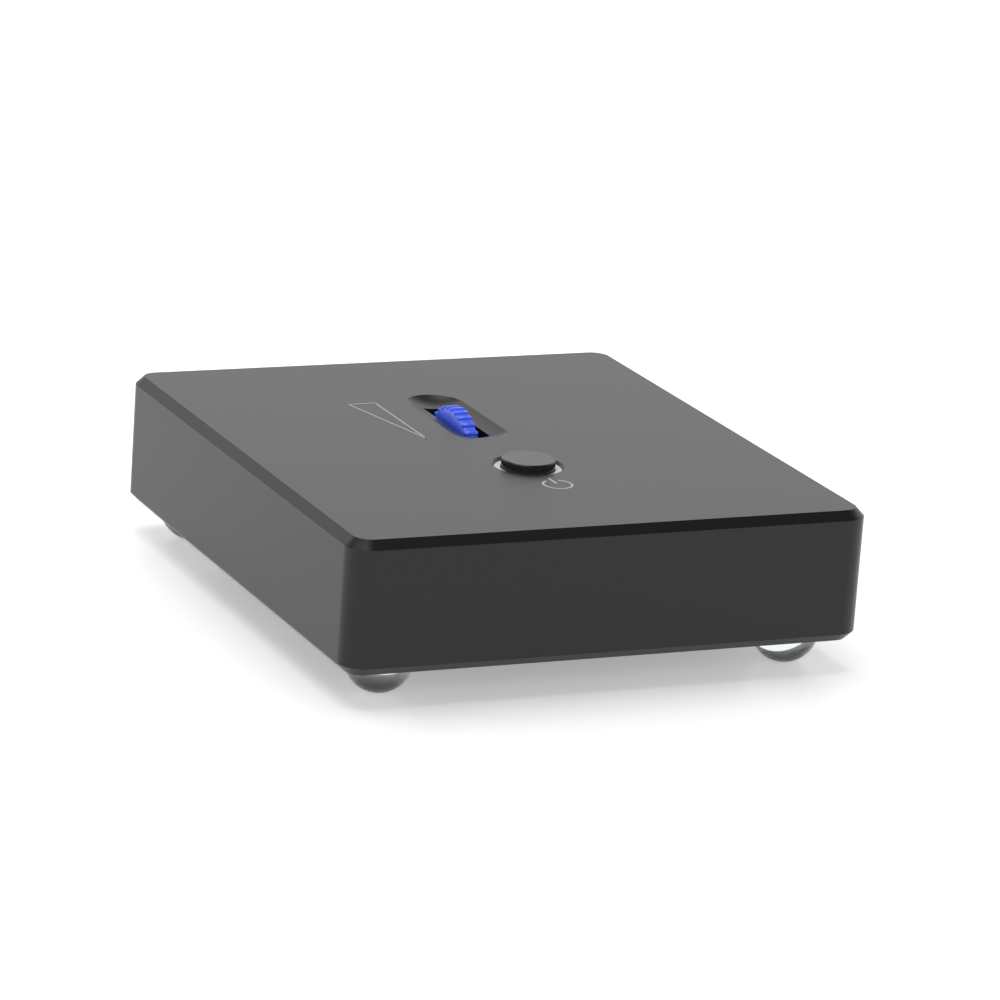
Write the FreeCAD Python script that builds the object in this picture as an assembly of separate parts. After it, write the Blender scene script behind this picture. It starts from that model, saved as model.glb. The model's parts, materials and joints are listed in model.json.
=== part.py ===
"""A small desktop phono preamp: a milled case on clear feet, with a gain wheel and a power button in its top.

Millimetres. X runs right along the front face, Y to the back, Z up.
The origin is on the surface that it stands on, under the middle of the whole object.
"""

import FreeCAD
import Part
import os
from math import acos, cos, pi, sin, sqrt

V = FreeCAD.Vector
X_AXIS = V(1, 0, 0)
Y_AXIS = V(0, 1, 0)
Z_AXIS = V(0, 0, 1)

# Case, milled from one block and open underneath
CASE_WIDTH = 80.0
CASE_DEPTH = 90.0
CASE_HEIGHT = 19.5
CASE_CORNER = 3.7
CASE_BEVEL = 1.25
WALL = 3.0
ROOF = 2.5
POCKET_CORNER = 2.0

# Base plate and the feet stuck on it
BASE_THICK = 2.0
BASE_GAP = 0.1
FOOT_RADIUS = 5.0
FOOT_HEIGHT = 4.8
FOOT_INSET = 8.3
FOOT_STEPS = 4

# Screws: shank, head and socket
SCREW_RADIUS = 1.25
SCREW_HEAD = 2.3
SCREW_HEAD_HIGH = 1.5
SCREW_SOCKET = 0.9
SCREW_SOCKET_DEEP = 0.9
SCREW_BITE = 5.0
SCREW_PLAY = 0.15
POST_RADIUS = 3.0
POST_INSET = 6.0
BASE_POST_FROM_FRONT = 19.5
BASE_POST_FROM_BACK = 21.5
BOARD_POST_FROM_FRONT = 29.0
BOARD_POST_FROM_BACK = 32.0

# Circuit board
BOARD_THICK = 1.6
BOARD_UNDER = 4.2
BOARD_MARGIN = 0.5
BOARD_CORNER = 1.5

# Scoop and slot over the gain wheel
SCOOP_RADIUS = 10.0
SCOOP_DEEP = 1.0
SCOOP_TRAVEL = 16.2
SLOT_WIDTH = 4.0
SLOT_LENGTH = 16.2
SLOT_CORNER = 0.5

# Gain wheel, its spindle and the potentiometer that it turns
WHEEL_FROM_FRONT = 57.2
WHEEL_RADIUS = 8.6
WHEEL_THICK = 2.8
WHEEL_PROUD = 1.45
WHEEL_RIDGES = 40
WHEEL_RIDGE_DEEP = 0.4
WHEEL_RIM = 0.45
WHEEL_DISH_RADIUS = 5.2
WHEEL_DISH_DEEP = 0.5
SPINDLE_RADIUS = 3.0
SPINDLE_FLAT = 0.8
SPINDLE_PLAY = 0.05
SPINDLE_PAST_WHEEL = 0.6
SPINDLE_IN_POT = 5.0
BUSH_RADIUS = 4.0
BUSH_GAP = 0.5
BUSH_LONG = 2.6
POT_PLATE_THICK = 0.8
POT_LONG = 9.6
POT_WIDE = 9.8
POT_GANG_GAP = 0.6
POT_GROOVE_DEEP = 0.5
POT_ROOF_GAP = 0.4
POT_LUG_THICK = 0.4
POT_LUG_WIDE = 0.9
POT_LUG_PITCH = 2.5

# Power button, its light ring and the switch below
BUTTON_FROM_FRONT = 31.3
BUTTON_RADIUS = 3.95
BUTTON_PROUD = 1.0
BUTTON_HIGH = 2.5
BUTTON_BEVEL = 0.25
BUTTON_TRAVEL = 0.8
BUTTON_HOLE = 5.0
BUTTON_HOLE_BEVEL = 0.3
STEM_RADIUS = 2.6
STEM_SOCKET_DEEP = 1.0
RING_PLAY = 0.1
RING_FIT = 0.05
RING_SUNK = 0.45
RING_FLANGE = 6.4
RING_FLANGE_THICK = 1.2
RING_ABOVE_SWITCH = 0.6
SWITCH_WIDE = 6.2
SWITCH_HIGH = 5.0
SWITCH_COVER = 0.3
PLUNGER_RADIUS = 1.7
PLUNGER_ABOVE = 2.2
PLUNGER_IN = 1.6
PLUNGER_SPARE = 0.5
PLUNGER_PLAY = 0.06
LED_LONG = 2.0
LED_WIDE = 1.25
LED_HIGH = 0.8

# Back panel, places across it counted from its left end as seen from the front
OUT_LEFT_AT = 21.0
SOCKET_PITCH = 13.0
IN_RIGHT_FROM_RIGHT = 10.0
DC_AT = 10.4
PANEL_ABOVE_BOARD = 6.0

# Phono sockets
SHELL_RADIUS = 4.15
SHELL_BORE = 3.4
SHELL_REACH = 9.0
SHELL_NECK = 4.6
SHELL_NECK_INSIDE = 1.0
SHELL_NECK_PROUD = 0.6
SHELL_HOLE_PLAY = 0.06
INSULATOR_SUNK = 0.6
CONTACT_RADIUS = 2.0
CONTACT_BORE = 1.6
CONTACT_SUNK = 0.9
CONTACT_DEEP = 14.6
CONTACT_SLIT = 0.35
CONTACT_SLIT_LONG = 6.0
HOUSING_WIDE = 9.4
HOUSING_TALL = 11.0
HOUSING_LONG = 10.0
HOUSING_EDGE = 0.6

# Ground terminal
STUD_RADIUS = 1.5
STUD_REACH = 10.0
STUD_INSIDE = 5.0
STUD_FLANGE = 3.2
STUD_FLANGE_THICK = 1.0
STUD_FIT = 0.06
LOCK_NUT_FLATS = 5.5
LOCK_NUT_THICK = 2.4
WASHER_RADIUS = 3.2
WASHER_THICK = 0.8
NUT_RADIUS = 3.3
NUT_LONG = 5.0
NUT_NECK = 2.7
NUT_NECK_LONG = 1.0
NUT_RIDGES = 20
NUT_RIDGE_DEEP = 0.25
TERMINAL_GAP = 0.1

# Power inlet
DC_WIDE = 9.0
DC_TALL = 10.8
DC_LONG = 11.0
DC_NOSE = 4.0
DC_NOSE_PLAY = 0.15
DC_BORE = 2.85
DC_BORE_DEEP = 10.0
DC_PIN = 1.05
DC_PIN_SUNK = 0.8
DC_PIN_TIP = 0.6
DC_MOUTH_BEVEL = 0.4

# Cartridge selector, a slide switch reached through a window in the base plate
SELECTOR_FROM_LEFT = 60.0
SELECTOR_FROM_FRONT = 37.0
SELECTOR_LONG = 10.0
SELECTOR_WIDE = 4.4
SELECTOR_KNOB_LONG = 2.4
SELECTOR_KNOB_WIDE = 1.6
SELECTOR_TRAVEL = 2.0
SELECTOR_PLAY = 0.3
SELECTOR_POCKET = 1.2
SELECTOR_RIBS = 3
SELECTOR_RIB_DEEP = 0.2
WINDOW_LONG = 9.6
WINDOW_WIDE = 5.0
WINDOW_CORNER = 1.0
KNOB_SUNK = 0.3

# Parts soldered on the board, places counted from the case's front left corner
CAN_RADIUS = 3.15
CAN_HIGH = 7.7
CAN_RIM = 0.15
CAN_BASE_HIGH = 0.8
CAN_ROWS = 2
CAN_PITCH = 8.0
CAN_FROM_LEFT = 17.0
CAN_FROM_FRONT = 12.0
FILM_LONG = 7.2
FILM_WIDE = 3.5
FILM_HIGH = 7.5
FILM_PITCH = 5.5
FILM_COUNT = 4
FILM_FROM_LEFT = 16.0
FILM_FROM_FRONT = 46.0
CHIP_LONG = 4.9
CHIP_WIDE = 3.9
CHIP_HIGH = 1.4
CHIP_LEG = 1.0
CHIP_LEG_WIDE = 0.4
CHIP_LEG_PITCH = 1.27
CHIP_LEGS = 4
CHIP_FROM_LEFT = 28.0
CHIP_FROM_FRONT = 45.0
CHIP_PITCH = 8.5
CHIP_COUNT = 3
RESISTOR_WIDE = 1.6
RESISTOR_LONG = 3.2
RESISTOR_HIGH = 0.6
RESISTOR_END = 0.5
RESISTOR_END_HIGH = 0.7
RESISTOR_PITCH = 2.6
RESISTOR_COUNT = 7
RESISTOR_FROM_RIGHT = 18.0
RESISTOR_FROM_FRONT = 48.0
RELAY_LONG = 10.0
RELAY_WIDE = 6.5
RELAY_HIGH = 5.2
RELAY_EDGE = 0.4
RELAY_FROM_LEFT = 57.0
RELAY_FROM_FRONT = 12.0
REGULATOR_LONG = 6.5
REGULATOR_WIDE = 3.5
REGULATOR_HIGH = 1.7
REGULATOR_TAB = 3.0
REGULATOR_TAB_LONG = 1.7
REGULATOR_TAB_THICK = 0.5
REGULATOR_FROM_LEFT = 44.0
REGULATOR_FROM_FRONT = 12.0

# Cuts run this far past the face that they open
OVERRUN = 1.0

# Places that follow from the sizes above
case_low = FOOT_HEIGHT
case_top = case_low + CASE_HEIGHT
roof_under = case_top - ROOF
base_top = case_low + BASE_THICK
board_low = case_low + BOARD_UNDER
board_top = board_low + BOARD_THICK
left = -CASE_WIDTH / 2
right = CASE_WIDTH / 2
front = -(CASE_DEPTH + STUD_REACH) / 2
back = front + CASE_DEPTH
back_inside = back - WALL
mid_y = front + CASE_DEPTH / 2
wheel_y = front + WHEEL_FROM_FRONT
wheel_z = case_top + WHEEL_PROUD - WHEEL_RADIUS
button_y = front + BUTTON_FROM_FRONT
switch_top = board_top + SWITCH_HIGH
panel_z = board_top + PANEL_ABOVE_BOARD
base_posts = [(sx * (CASE_WIDTH / 2 - POST_INSET), y)
              for sx in (-1, 1)
              for y in (front + BASE_POST_FROM_FRONT, back - BASE_POST_FROM_BACK)]
board_posts = [(sx * (CASE_WIDTH / 2 - POST_INSET), y)
               for sx in (-1, 1)
               for y in (front + BOARD_POST_FROM_FRONT, back - BOARD_POST_FROM_BACK)]


def block(x0, x1, y0, y1, z0, z1):
    """A plain block between two opposite corners."""
    return Part.makeBox(x1 - x0, y1 - y0, z1 - z0, V(x0, y0, z0))


def centred_block(x, y, long, wide, z0, z1):
    """A block centred on a point of the plan."""
    return block(x - long / 2, x + long / 2, y - wide / 2, y + wide / 2, z0, z1)


def rod(radius, start, length, axis=Z_AXIS):
    """A round rod from a point along an axis."""
    return Part.makeCylinder(radius, length, start, axis)


def tube(outer, inner, start, length, axis=Z_AXIS):
    """A round tube from a point along an axis."""
    over = axis * OVERRUN
    return rod(outer, start, length, axis).cut(rod(inner, start - over, length + 2 * OVERRUN, axis))


def revolved(profile, centre, axis):
    """Turns a closed profile of (distance along the axis, radius) points about the axis."""
    across = Z_AXIS if axis != Z_AXIS else X_AXIS
    points = [centre + axis * along + across * radius for along, radius in profile]
    return Part.Face(Part.makePolygon(points + points[:1])).revolve(centre, axis, 360)


def rounded_block(x, y, long, wide, z0, z1, corner):
    """A block with its upright edges rounded."""
    solid = centred_block(x, y, long, wide, z0, z1)
    upright = [e for e in solid.Edges if abs(e.tangentAt(e.FirstParameter).z) > 0.5]
    return solid.makeFillet(corner, upright)


def edges_at(solid, z):
    """The edges that lie whole in one level plane."""
    return [e for e in solid.Edges if abs(e.BoundBox.ZMin - z) < 1e-4 and abs(e.BoundBox.ZMax - z) < 1e-4]


def polygon_prism(count, across_flats, start, length, axis):
    """A prism with a regular polygon for its section, such as a hex nut."""
    radius = across_flats / 2 / cos(pi / count)
    side = Z_AXIS if axis != Z_AXIS else X_AXIS
    other = axis.cross(side)
    points = [start + side * (radius * cos(2 * pi * i / count)) + other * (radius * sin(2 * pi * i / count))
              for i in range(count)]
    return Part.Face(Part.makePolygon(points + points[:1])).extrude(axis * length)


def ridged_disc(radius, deep, ridges, rim, start, length, axis):
    """A disc with bevelled rims and a band of flat topped ridges round the middle of its edge."""
    side = Z_AXIS
    other = axis.cross(side)
    step = 2 * pi / ridges
    low = radius - deep
    points = []
    for i in range(ridges):
        for share, r in ((-0.5, low), (-0.2, radius), (0.2, radius)):
            angle = (i + share) * step
            points.append(start + axis * rim + side * (r * cos(angle)) + other * (r * sin(angle)))
    band = Part.Face(Part.makePolygon(points + points[:1])).extrude(axis * (length - 2 * rim))
    core = revolved([(0, 0), (0, low - rim), (rim, low), (length - rim, low), (length, low - rim), (length, 0)],
                    start, axis)
    return band.fuse(core)


def countersunk_screw(place, length):
    """A screw whose flat head faces down at its place, with a hexagon socket."""
    shape = revolved([(0, 0), (0, SCREW_HEAD), (SCREW_HEAD - SCREW_RADIUS, SCREW_RADIUS),
                      (length, SCREW_RADIUS), (length, 0)], place, Z_AXIS)
    return shape.cut(polygon_prism(6, 2 * SCREW_SOCKET, place - Z_AXIS * OVERRUN, OVERRUN + SCREW_SOCKET_DEEP, Z_AXIS))


def round_screw(place, length):
    """A screw with a plain round head, whose head faces down at its place."""
    return rod(SCREW_HEAD, place, SCREW_HEAD_HIGH).fuse(rod(SCREW_RADIUS, place, length))


def save(name, shape):
    """Writes one piece and says how many solids it has."""
    shape = shape.removeSplitter() if shape.ShapeType != "Compound" else shape
    if not shape.isValid():
        raise ValueError("not valid: " + name)
    shape.exportStep("parts/" + name + ".step")
    print(name, len(shape.Solids), round(shape.Volume, 2))


def group(shapes):
    """Like pieces kept together as separate solids."""
    return Part.makeCompound(shapes)


def case_shell():
    """The milled case: bevelled block, pocket, screw posts, scoop, slot and panel holes."""
    shell = rounded_block(0, mid_y, CASE_WIDTH, CASE_DEPTH, case_low, case_top, CASE_CORNER)
    shell = shell.makeChamfer(CASE_BEVEL, edges_at(shell, case_low) + edges_at(shell, case_top))
    inside = (CASE_WIDTH - 2 * WALL, CASE_DEPTH - 2 * WALL)
    pocket = rounded_block(0, mid_y, *inside, case_low - OVERRUN, roof_under, POCKET_CORNER)
    for posts, post_low in ((base_posts, base_top), (board_posts, board_top)):
        for x, y in posts:
            toward_wall = WALL / 2 if x > 0 else -WALL / 2
            post = rod(POST_RADIUS, V(x, y, post_low), roof_under - post_low)
            rib = centred_block(x + toward_wall, y, POST_RADIUS, 2 * POST_RADIUS, post_low, roof_under)
            pocket = pocket.cut(post.fuse(rib))
    shell = shell.cut(pocket)
    for posts, post_low in ((base_posts, base_top), (board_posts, board_top)):
        for x, y in posts:
            shell = shell.cut(rod(SCREW_RADIUS, V(x, y, post_low - OVERRUN), SCREW_BITE + OVERRUN))
    ends = [V(0, wheel_y + s * SCOOP_TRAVEL / 2, case_top + SCOOP_RADIUS - SCOOP_DEEP) for s in (-1, 1)]
    scoop = rod(SCOOP_RADIUS, ends[0], SCOOP_TRAVEL, Y_AXIS)
    for end in ends:
        scoop = scoop.fuse(Part.makeSphere(SCOOP_RADIUS, end))
    shell = shell.cut(scoop)
    slot_low = roof_under - OVERRUN
    shell = shell.cut(rounded_block(0, wheel_y, SLOT_WIDTH, SLOT_LENGTH, slot_low, case_top, SLOT_CORNER))
    hole = revolved([(0, 0), (0, BUTTON_HOLE), (ROOF + OVERRUN - BUTTON_HOLE_BEVEL, BUTTON_HOLE),
                     (ROOF + OVERRUN, BUTTON_HOLE + BUTTON_HOLE_BEVEL),
                     (ROOF + 2 * OVERRUN, BUTTON_HOLE + BUTTON_HOLE_BEVEL), (ROOF + 2 * OVERRUN, 0)],
                    V(0, button_y, slot_low), Z_AXIS)
    shell = shell.cut(hole)
    for across, radius in panel_holes():
        hole = rod(radius, V(left + across, back_inside - OVERRUN, panel_z), WALL + 2 * OVERRUN, Y_AXIS)
        shell = shell.cut(hole)
    return shell


def socket_places():
    """The four phono sockets: their names and how far they lie from the case's left end."""
    in_right_at = CASE_WIDTH - IN_RIGHT_FROM_RIGHT
    return [("out_left", OUT_LEFT_AT), ("out_right", OUT_LEFT_AT + SOCKET_PITCH),
            ("in_left", in_right_at - SOCKET_PITCH), ("in_right", in_right_at)]


ground_at = (OUT_LEFT_AT + CASE_WIDTH - IN_RIGHT_FROM_RIGHT) / 2


def panel_holes():
    """Every round hole in the back wall: its place and radius."""
    holes = [(at, SHELL_NECK + SHELL_HOLE_PLAY) for _, at in socket_places()]
    return holes + [(ground_at, STUD_RADIUS + STUD_FIT), (DC_AT, DC_NOSE + DC_NOSE_PLAY)]


def base_plate():
    """The base plate, let in flush with the case's lower rim."""
    trim = 2 * (WALL + BASE_GAP)
    plate = rounded_block(0, mid_y, CASE_WIDTH - trim, CASE_DEPTH - trim, case_low, base_top,
                          POCKET_CORNER - BASE_GAP)
    for x, y in base_posts:
        sink = SCREW_HEAD + SCREW_PLAY
        through = SCREW_RADIUS + SCREW_PLAY
        plate = plate.cut(revolved([(-OVERRUN, 0), (-OVERRUN, sink), (0, sink), (sink - through, through),
                                    (BASE_THICK + OVERRUN, through), (BASE_THICK + OVERRUN, 0)],
                                   V(x, y, case_low), Z_AXIS))
    window = rounded_block(left + SELECTOR_FROM_LEFT, front + SELECTOR_FROM_FRONT, WINDOW_LONG, WINDOW_WIDE,
                           case_low - OVERRUN, base_top + OVERRUN, WINDOW_CORNER)
    return plate.cut(window)


def foot(x, y):
    """A clear dome foot, flat where it stands. Its outline is part of a circle, taken in even steps."""
    flat = sqrt(FOOT_RADIUS ** 2 - FOOT_HEIGHT ** 2)
    end = acos(flat / FOOT_RADIUS)
    turns = [end * i / FOOT_STEPS for i in range(FOOT_STEPS + 1)]
    dome = [(-FOOT_RADIUS * sin(turn), FOOT_RADIUS * cos(turn)) for turn in turns]
    return revolved([(0, 0)] + dome + [(-FOOT_HEIGHT, 0)], V(x, y, case_low), Z_AXIS)


def foot_places():
    """The four feet: their names and centres."""
    reach_x = CASE_WIDTH / 2 - FOOT_INSET
    reach_y = CASE_DEPTH / 2 - FOOT_INSET
    return [("foot_" + fb + "_" + lr, sx * reach_x, mid_y + sy * reach_y)
            for fb, sy in (("front", -1), ("back", 1)) for lr, sx in (("left", -1), ("right", 1))]


def circuit_board():
    """The board, with a slot for the wheel, notches round the base posts and screw holes."""
    trim = 2 * (WALL + BOARD_MARGIN)
    board = rounded_block(0, mid_y, CASE_WIDTH - trim, CASE_DEPTH - trim, board_low, board_top, BOARD_CORNER)
    z0 = board_low - OVERRUN
    high = BOARD_THICK + 2 * OVERRUN
    for x, y in base_posts:
        toward_wall = POST_RADIUS if x > 0 else -POST_RADIUS
        side = 2 * (POST_RADIUS + BOARD_MARGIN)
        board = board.cut(centred_block(x + toward_wall, y, side + 2 * POST_RADIUS, side, z0, z0 + high))
    for x, y in board_posts:
        board = board.cut(rod(SCREW_RADIUS + SCREW_PLAY, V(x, y, z0), high))
    reach = sqrt(max(WHEEL_RADIUS ** 2 - (wheel_z - board_top) ** 2, 1.0)) + 2 * BOARD_MARGIN
    slot = rounded_block(0, wheel_y, SLOT_WIDTH, 2 * reach, z0, z0 + high, SLOT_CORNER)
    return board.cut(slot)


def gain_wheel():
    """The thumb wheel: ridged edge, flat dished sides and a bore for the spindle's flat."""
    start = V(-WHEEL_THICK / 2, wheel_y, wheel_z)
    wheel = ridged_disc(WHEEL_RADIUS, WHEEL_RIDGE_DEEP, WHEEL_RIDGES, WHEEL_RIM, start, WHEEL_THICK, X_AXIS)
    for face in (start - X_AXIS * OVERRUN, start + X_AXIS * (WHEEL_THICK - WHEEL_DISH_DEEP)):
        wheel = wheel.cut(rod(WHEEL_DISH_RADIUS, face, OVERRUN + WHEEL_DISH_DEEP, X_AXIS))
    return wheel.cut(spindle_rod(start.x - OVERRUN, WHEEL_THICK + 2 * OVERRUN))


def spindle_rod(x, length):
    """The spindle's section, a round with one flat, from a place on X."""
    round_rod = rod(SPINDLE_RADIUS, V(x, wheel_y, wheel_z), length, X_AXIS)
    top = wheel_z + SPINDLE_RADIUS
    flat = block(x - OVERRUN, x + length + OVERRUN, wheel_y - 2 * SPINDLE_RADIUS, wheel_y + 2 * SPINDLE_RADIUS,
                 top - SPINDLE_FLAT, top + OVERRUN)
    return round_rod.cut(flat)


bush_start = WHEEL_THICK / 2 + BUSH_GAP
plate_start = bush_start + BUSH_LONG - POT_PLATE_THICK
pot_start = bush_start + BUSH_LONG


def gain_spindle():
    """The spindle: it carries the wheel, runs in the bush and ends in the potentiometer."""
    start = -WHEEL_THICK / 2 - SPINDLE_PAST_WHEEL
    keyed = spindle_rod(start, bush_start - start)
    plain = rod(SPINDLE_RADIUS, V(bush_start, wheel_y, wheel_z), BUSH_LONG + SPINDLE_IN_POT, X_AXIS)
    return keyed.fuse(plain)


def pot_body():
    """The potentiometer's two gangs, with a groove between them and the spindle's bore."""
    z_high = roof_under - POT_ROOF_GAP
    body = block(pot_start, pot_start + POT_LONG, wheel_y - POT_WIDE / 2, wheel_y + POT_WIDE / 2, board_top, z_high)
    middle = pot_start + POT_LONG / 2
    rim = POT_GROOVE_DEEP
    groove = block(middle - POT_GANG_GAP / 2, middle + POT_GANG_GAP / 2, wheel_y - POT_WIDE, wheel_y + POT_WIDE,
                   board_top + rim, roof_under)
    core = block(middle - POT_GANG_GAP, middle + POT_GANG_GAP, wheel_y - POT_WIDE / 2 + rim,
                 wheel_y + POT_WIDE / 2 - rim, board_top, z_high - rim)
    body = body.cut(groove.cut(core))
    return body.cut(rod(SPINDLE_RADIUS + SPINDLE_PLAY, V(pot_start - OVERRUN, wheel_y, wheel_z),
                        OVERRUN + SPINDLE_IN_POT + BUSH_GAP, X_AXIS))


def pot_plate():
    """The steel plate on the front of the potentiometer, bored for the bush."""
    plate = block(plate_start, pot_start, wheel_y - POT_WIDE / 2, wheel_y + POT_WIDE / 2,
                  board_top, roof_under - POT_ROOF_GAP)
    return plate.cut(rod(BUSH_RADIUS, V(plate_start - OVERRUN, wheel_y, wheel_z),
                         POT_PLATE_THICK + 2 * OVERRUN, X_AXIS))


def pot_bush():
    """The brass bush that the spindle turns in."""
    return tube(BUSH_RADIUS, SPINDLE_RADIUS + SPINDLE_PLAY, V(bush_start, wheel_y, wheel_z), BUSH_LONG, X_AXIS)


def pot_lugs():
    """The potentiometer's solder lugs, three for each gang, standing on the board behind it."""
    lugs = []
    behind = wheel_y + POT_WIDE / 2
    for gang in (0, 1):
        x = pot_start + POT_LONG / 4 + gang * POT_LONG / 2
        for i in (-1, 0, 1):
            at = x + i * POT_LUG_PITCH / 2
            lugs.append(block(at - POT_LUG_WIDE / 2, at + POT_LUG_WIDE / 2, behind, behind + POT_LUG_THICK,
                              board_top, board_top + POT_LUG_PITCH))
    return group(lugs)


cap_top = case_top + BUTTON_PROUD
cap_low = cap_top - BUTTON_HIGH
plunger_top = switch_top + PLUNGER_ABOVE
ring_top = case_top - RING_SUNK
ring_low = switch_top + RING_ABOVE_SWITCH


def power_button():
    """The button: a turned disc with a fine bevel, and the stem moulded below it."""
    cap = revolved([(0, 0), (0, BUTTON_RADIUS), (BUTTON_HIGH - BUTTON_BEVEL, BUTTON_RADIUS),
                    (BUTTON_HIGH, BUTTON_RADIUS - BUTTON_BEVEL), (BUTTON_HIGH, 0)],
                   V(0, button_y, cap_low), Z_AXIS)
    stem_low = plunger_top - STEM_SOCKET_DEEP
    stem = rod(STEM_RADIUS, V(0, button_y, stem_low), cap_low - stem_low)
    socket = rod(PLUNGER_RADIUS, V(0, button_y, stem_low - OVERRUN), OVERRUN + STEM_SOCKET_DEEP)
    return cap.fuse(stem).cut(socket)


def switch_plunger():
    """The switch's plunger, which the stem sits on."""
    return rod(PLUNGER_RADIUS, V(0, button_y, switch_top - PLUNGER_IN), PLUNGER_ABOVE + PLUNGER_IN)


def switch_body():
    """The push switch's moulded body, bored for its plunger."""
    body = centred_block(0, button_y, SWITCH_WIDE, SWITCH_WIDE, board_top, switch_top - SWITCH_COVER)
    deep = PLUNGER_IN + BUTTON_TRAVEL + PLUNGER_SPARE
    return body.cut(rod(PLUNGER_RADIUS + PLUNGER_PLAY, V(0, button_y, switch_top - deep), deep + OVERRUN))


def switch_cover():
    """The pressed cover on the push switch."""
    z0 = switch_top - SWITCH_COVER
    cover = centred_block(0, button_y, SWITCH_WIDE, SWITCH_WIDE, z0, switch_top)
    return cover.cut(rod(PLUNGER_RADIUS + PLUNGER_PLAY, V(0, button_y, z0 - OVERRUN), SWITCH_COVER + 2 * OVERRUN))


def light_ring():
    """The opal ring round the button. Its tube leads light up from the board, and its flange is glued to the roof."""
    outer = BUTTON_HOLE - RING_FIT
    inner = BUTTON_RADIUS + RING_PLAY
    flange_low = roof_under - RING_FLANGE_THICK
    return revolved([(ring_low, inner), (ring_low, outer), (flange_low, outer), (flange_low, RING_FLANGE),
                     (roof_under, RING_FLANGE), (roof_under, outer), (ring_top, outer), (ring_top, inner)],
                    V(0, button_y, 0), Z_AXIS)


def ring_lamps():
    """The two lamps on the board that light the ring."""
    reach = SWITCH_WIDE / 2 + LED_WIDE
    return group([centred_block(s * reach, button_y, LED_WIDE, LED_LONG, board_top, board_top + LED_HIGH)
                  for s in (-1, 1)])


def socket_shell(x):
    """A socket's turned and plated shell, with a stouter neck where it passes through the wall."""
    inside = back_inside - SHELL_NECK_INSIDE
    shoulder = back + SHELL_NECK_PROUD
    mouth = back + SHELL_REACH
    return revolved([(inside, SHELL_BORE), (inside, SHELL_NECK), (shoulder, SHELL_NECK), (shoulder, SHELL_RADIUS),
                     (mouth, SHELL_RADIUS), (mouth, SHELL_BORE)], V(x, 0, panel_z), Y_AXIS)


def socket_insulator(x):
    """The moulded core that holds the contact in the middle of the shell."""
    start = V(x, back_inside - SHELL_NECK_INSIDE, panel_z)
    return tube(SHELL_BORE, CONTACT_RADIUS, start,
                SHELL_NECK_INSIDE + WALL + SHELL_REACH - INSULATOR_SUNK, Y_AXIS)


def socket_contact(x):
    """The centre contact: a blind tube split into four springs at its mouth."""
    mouth = back + SHELL_REACH - CONTACT_SUNK
    deep = mouth - CONTACT_DEEP
    contact = rod(CONTACT_RADIUS, V(x, deep - SHELL_NECK_INSIDE, panel_z), CONTACT_DEEP + SHELL_NECK_INSIDE, Y_AXIS)
    contact = contact.cut(rod(CONTACT_BORE, V(x, deep, panel_z), CONTACT_DEEP + OVERRUN, Y_AXIS))
    half = CONTACT_SLIT / 2
    reach = CONTACT_RADIUS + OVERRUN
    start = mouth - CONTACT_SLIT_LONG
    end = mouth + OVERRUN
    contact = contact.cut(block(x - half, x + half, start, end, panel_z - reach, panel_z + reach))
    return contact.cut(block(x - reach, x + reach, start, end, panel_z - half, panel_z + half))


def socket_housing(x):
    """The moulded block that holds a socket on the board."""
    near = back_inside - SHELL_NECK_INSIDE
    housing = block(x - HOUSING_WIDE / 2, x + HOUSING_WIDE / 2, near - HOUSING_LONG, near,
                    board_top, board_top + HOUSING_TALL)
    top = [e for e in edges_at(housing, board_top + HOUSING_TALL)
           if abs(e.tangentAt(e.FirstParameter).y) > 0.5]
    housing = housing.makeChamfer(HOUSING_EDGE, top)
    return housing.cut(rod(CONTACT_RADIUS, V(x, near - HOUSING_LONG - OVERRUN, panel_z),
                           HOUSING_LONG + 2 * OVERRUN, Y_AXIS))


ground_x = left + ground_at
flange_face = back + STUD_FLANGE_THICK
washer_start = flange_face + TERMINAL_GAP
nut_start = washer_start + WASHER_THICK + TERMINAL_GAP


def ground_stud():
    """The ground terminal's stud, with a flange against the outside of the wall."""
    stud = rod(STUD_RADIUS, V(ground_x, back_inside - STUD_INSIDE, panel_z), STUD_INSIDE + WALL + STUD_REACH, Y_AXIS)
    return stud.fuse(rod(STUD_FLANGE, V(ground_x, back, panel_z), STUD_FLANGE_THICK, Y_AXIS))


def ground_lock_nut():
    """The hexagon nut that clamps the stud inside the wall."""
    nut = polygon_prism(6, LOCK_NUT_FLATS, V(ground_x, back_inside - LOCK_NUT_THICK, panel_z), LOCK_NUT_THICK, Y_AXIS)
    return nut.cut(rod(STUD_RADIUS, V(ground_x, back_inside - LOCK_NUT_THICK - OVERRUN, panel_z),
                       LOCK_NUT_THICK + 2 * OVERRUN, Y_AXIS))


def ground_washer():
    """The plain washer that clamps the ground wire."""
    return tube(WASHER_RADIUS, STUD_RADIUS + STUD_FIT, V(ground_x, washer_start, panel_z), WASHER_THICK, Y_AXIS)


def ground_nut():
    """The knurled thumb nut, with a turned neck towards the washer."""
    start = V(ground_x, nut_start, panel_z)
    neck = rod(NUT_NECK, start, NUT_NECK_LONG + NUT_RIDGE_DEEP, Y_AXIS)
    knurl = ridged_disc(NUT_RADIUS, NUT_RIDGE_DEEP, NUT_RIDGES, NUT_RIDGE_DEEP, start + Y_AXIS * NUT_NECK_LONG,
                        NUT_LONG - NUT_NECK_LONG, Y_AXIS)
    return knurl.fuse(neck).cut(rod(STUD_RADIUS + STUD_FIT, start - Y_AXIS * OVERRUN, NUT_LONG + 2 * OVERRUN, Y_AXIS))


dc_x = left + DC_AT


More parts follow.
